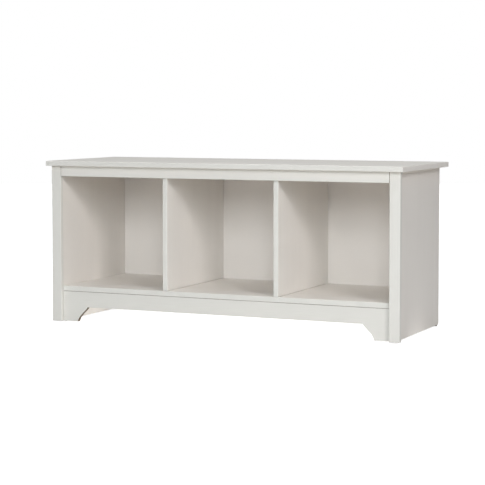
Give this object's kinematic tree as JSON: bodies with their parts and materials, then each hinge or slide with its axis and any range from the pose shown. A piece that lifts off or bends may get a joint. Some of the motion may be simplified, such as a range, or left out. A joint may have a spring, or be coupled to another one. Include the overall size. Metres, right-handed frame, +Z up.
{
  "type": "entryway bench",
  "caption": "Low white laminate entryway bench with open cubbies under a flat overhanging seat, a front face frame and a bracket-foot apron.",
  "frame": {"origin": "on the floor, under the centre of the bench's bounding box", "axes": "+X along the bench towards its right end as seen from the front, +Y from the front to the back, +Z up"},
  "size_m": [1.171, 0.438, 0.508],
  "materials": {
    "white_laminate": "satin warm white laminate on particleboard",
    "cubby_laminate": "satin warm white laminate on particleboard",
    "white_hardboard": "matte white painted hardboard",
    "zinc_cam": "die-cast zinc, dull",
    "zinc_bolt": "bright zinc plate",
    "steel_screw": "yellowish zinc plate",
    "beech_dowel": "raw fluted beech",
    "brown_plastic": "moulded brown plastic"
  },
  "bodies": {
    "root": {"back_panel": "white_hardboard", "bottom_shelf": "cubby_laminate", "cam_bolt_shelf_left_front": "zinc_bolt", "cam_bolt_shelf_left_rear": "zinc_bolt", "cam_bolt_shelf_right_front": "zinc_bolt", "cam_bolt_shelf_right_rear": "zinc_bolt", "cam_bolt_top_left_front": "zinc_bolt", "cam_bolt_top_left_rear": "zinc_bolt", "cam_bolt_top_right_front": "zinc_bolt", "cam_bolt_top_right_rear": "zinc_bolt", "cam_lock_shelf_left_front": "zinc_cam", "cam_lock_shelf_left_rear": "zinc_cam", "cam_lock_shelf_right_front": "zinc_cam", "cam_lock_shelf_right_rear": "zinc_cam", "cam_lock_top_left_front": "zinc_cam", "cam_lock_top_left_rear": "zinc_cam", "cam_lock_top_right_front": "zinc_cam", "cam_lock_top_right_rear": "zinc_cam", "divider_dowel_left_front": "beech_dowel", "divider_dowel_left_rear": "beech_dowel", "divider_dowel_right_front": "beech_dowel", "divider_dowel_right_rear": "beech_dowel", "divider_screw_left_front": "steel_screw", "divider_screw_left_rear": "steel_screw", "divider_screw_right_front": "steel_screw", "divider_screw_right_rear": "steel_screw", "floor_glide_left_front": "brown_plastic", "floor_glide_left_rear": "brown_plastic", "floor_glide_right_front": "brown_plastic", "floor_glide_right_rear": "brown_plastic", "front_apron": "white_laminate", "front_apron_dowel_left": "beech_dowel", "front_apron_dowel_middle": "beech_dowel", "front_apron_dowel_right": "beech_dowel", "left_divider": "cubby_laminate", "left_front_stile": "white_laminate", "left_side_panel": "white_laminate", "rail_end_dowel_left": "beech_dowel", "rail_end_dowel_right": "beech_dowel", "rail_top_dowel_left": "beech_dowel", "rail_top_dowel_right": "beech_dowel", "rear_apron": "white_laminate", "rear_apron_dowel_left": "beech_dowel", "rear_apron_dowel_right": "beech_dowel", "right_divider": "cubby_laminate", "right_front_stile": "white_laminate", "right_side_panel": "white_laminate", "seat_top": "white_laminate", "stile_dowel_left_lower": "beech_dowel", "stile_dowel_left_upper": "beech_dowel", "stile_dowel_right_lower": "beech_dowel", "stile_dowel_right_upper": "beech_dowel", "top_front_rail": "white_laminate"}
  },
  "joints": []
}
